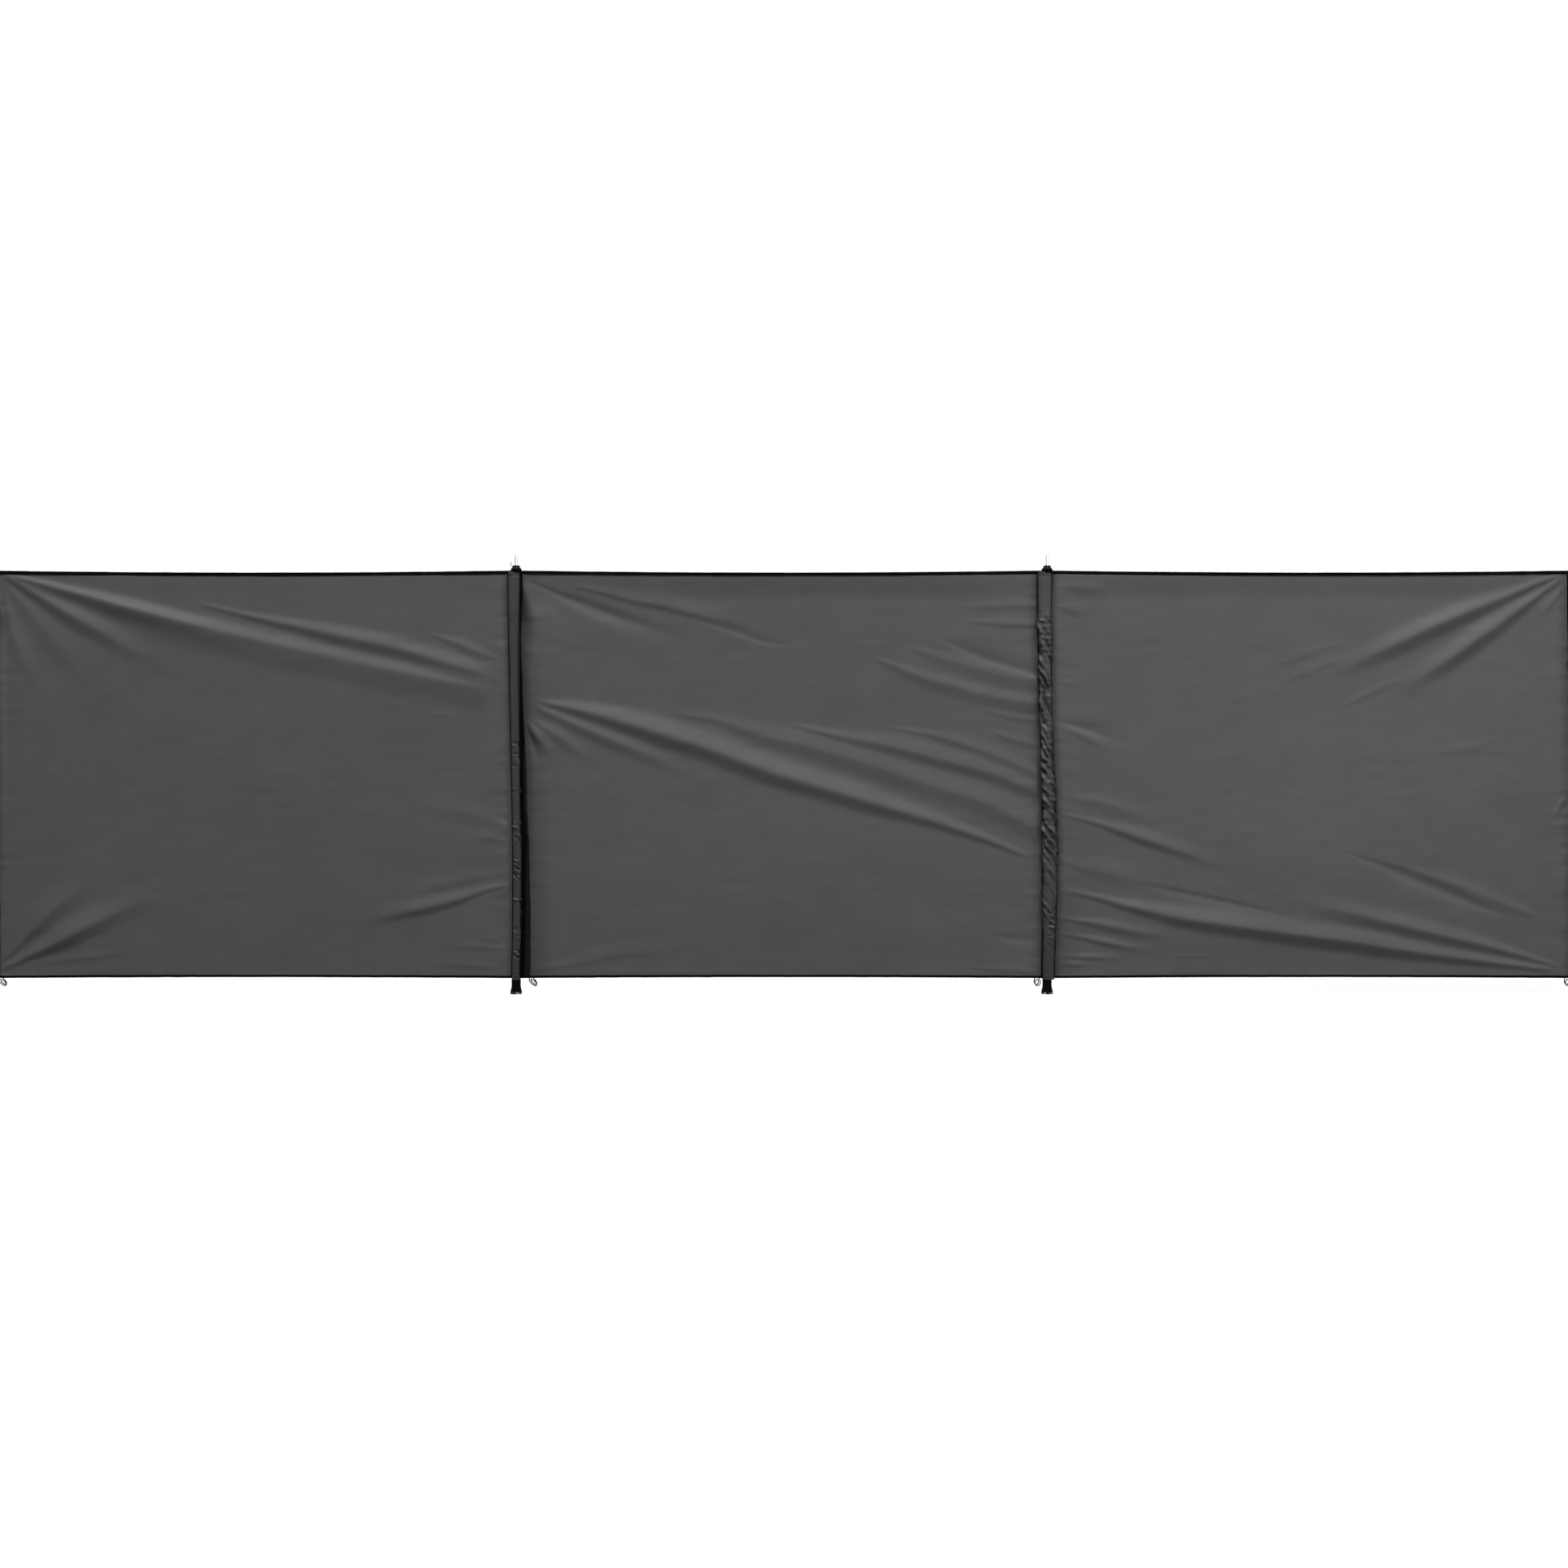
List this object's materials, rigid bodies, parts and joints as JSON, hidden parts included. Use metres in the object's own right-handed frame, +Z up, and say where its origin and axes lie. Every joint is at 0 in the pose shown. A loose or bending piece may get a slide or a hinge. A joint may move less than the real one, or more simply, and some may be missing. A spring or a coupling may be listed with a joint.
{
  "type": "beach windbreak",
  "caption": "Beach windbreak: wrinkled fabric bays on round poles in sewn sleeves, with rubber feet, pins on top and elastic peg loops; the end bays fold.",
  "frame": {"origin": "middle of the flat underside of the second pole's foot, on the ground", "axes": "+Z up along the poles, +X along the windbreak from the first pole to the last, -Y towards the front, the side where the sleeves cover the poles"},
  "size_m": [4.718, 0.034, 1.29],
  "materials": {
    "fabric": "woven polyester with a slight sheen",
    "tape": "ribbed binding tape",
    "tube": "zinc plated",
    "pin": "turned and zinc plated",
    "eyelet": "pressed and blackened",
    "plastic": "moulded",
    "rubber": "moulded, sandy rim",
    "cord": "braided elastic cord"
  },
  "bodies": {
    "left_bay": {"panel_1": "fabric", "top_hem_1": "tape", "bottom_hem_1": "tape", "pole_1": "tube", "top_plug_1": "plastic", "top_pin_1": "pin", "top_cap_1": "tape", "eyelet_1": "eyelet", "foot_1": "rubber", "sleeve_1": "fabric", "seam_tape_1": "tape", "peg_loop_1": "cord"},
    "centre_bay": {"panel_2": "fabric", "top_hem_2": "tape", "bottom_hem_2": "tape", "pole_2": "tube", "top_plug_2": "plastic", "top_pin_2": "pin", "top_cap_2": "tape", "eyelet_2": "eyelet", "foot_2": "rubber", "sleeve_2": "fabric", "seam_tape_2": "tape", "peg_loop_2": "cord", "pole_3": "tube", "top_plug_3": "plastic", "top_pin_3": "pin", "top_cap_3": "tape", "eyelet_3": "eyelet", "foot_3": "rubber", "sleeve_3": "fabric", "seam_tape_3": "tape", "peg_loop_3": "cord"},
    "right_bay": {"panel_3": "fabric", "top_hem_3": "tape", "bottom_hem_3": "tape", "pole_4": "tube", "top_plug_4": "plastic", "top_pin_4": "pin", "top_cap_4": "tape", "eyelet_4": "eyelet", "foot_4": "rubber", "sleeve_4": "fabric", "seam_tape_4": "tape", "peg_loop_4": "cord"}
  },
  "joints": [
    {"name": "left_fold", "type": "hinge", "parent": "centre_bay", "child": "left_bay", "pos_m": [-0.025, 0.0106, 0.646], "axis": [0, 0, 1], "range_deg": [-90, 90]},
    {"name": "right_fold", "type": "hinge", "parent": "centre_bay", "child": "right_bay", "pos_m": [1.585, 0.0106, 0.646], "axis": [0, 0, -1], "range_deg": [-90, 90]}
  ]
}
